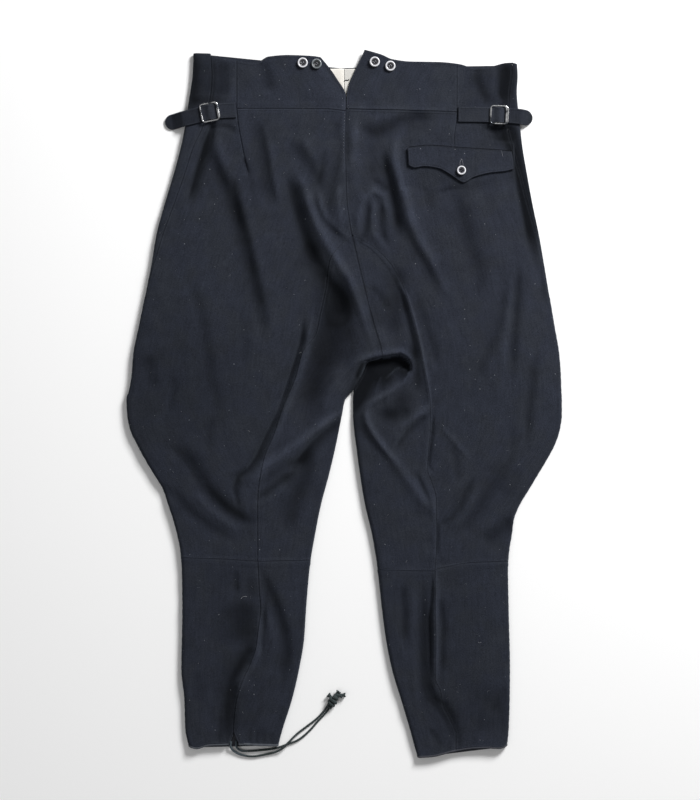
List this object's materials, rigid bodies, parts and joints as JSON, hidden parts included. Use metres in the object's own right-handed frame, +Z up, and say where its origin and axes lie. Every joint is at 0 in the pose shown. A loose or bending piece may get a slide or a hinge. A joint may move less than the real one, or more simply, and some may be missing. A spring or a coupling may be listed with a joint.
{
  "type": "knee breeches",
  "caption": "Dark wool riding-cut knee breeches laid flat back side up, with flared thighs, close calves, notched brace rise, cinch straps, hip pocket flap and a hem drawstring.",
  "frame": {"origin": "on the surface that the garment lies on, under the middle of its outline", "axes": "+X towards the wearer's right side, +Y towards the waist, +Z up, out of the garment's back"},
  "size_m": [0.6097, 0.9922, 0.0215],
  "materials": {
    "wool": "matte napped wool twill, very dark navy",
    "wool_strap": "matte wool twill, doubled",
    "facing": "unbleached cotton twill",
    "binding": "grey-blue cotton binding tape",
    "button": "pearly rim with a dark dished middle",
    "buckle": "bright nickel-plated steel",
    "cord": "dark grey-green braided cotton"
  },
  "bodies": {
    "root": {"back_left": "wool", "back_right": "wool", "inner_leg_left": "wool", "inner_leg_right": "wool", "back_rise_left": "wool", "back_rise_right": "wool", "front_left": "wool", "front_right": "wool", "calf_outer_left": "wool", "calf_outer_right": "wool", "calf_inner_left": "wool", "calf_inner_right": "wool", "hem_binding_left": "binding", "hem_binding_right": "binding", "hem_facing_left": "binding", "facing_left": "facing", "facing_right": "facing", "pocket_flap": "wool", "pocket_button": "button", "brace_button_1": "button", "brace_button_2": "button", "brace_button_3": "button", "brace_button_4": "button", "strap_left": "wool_strap", "strap_right": "wool_strap", "buckle_left": "buckle", "buckle_right": "buckle", "drawstring_a": "cord", "drawstring_b": "cord", "drawstring_knot": "cord"}
  },
  "joints": []
}
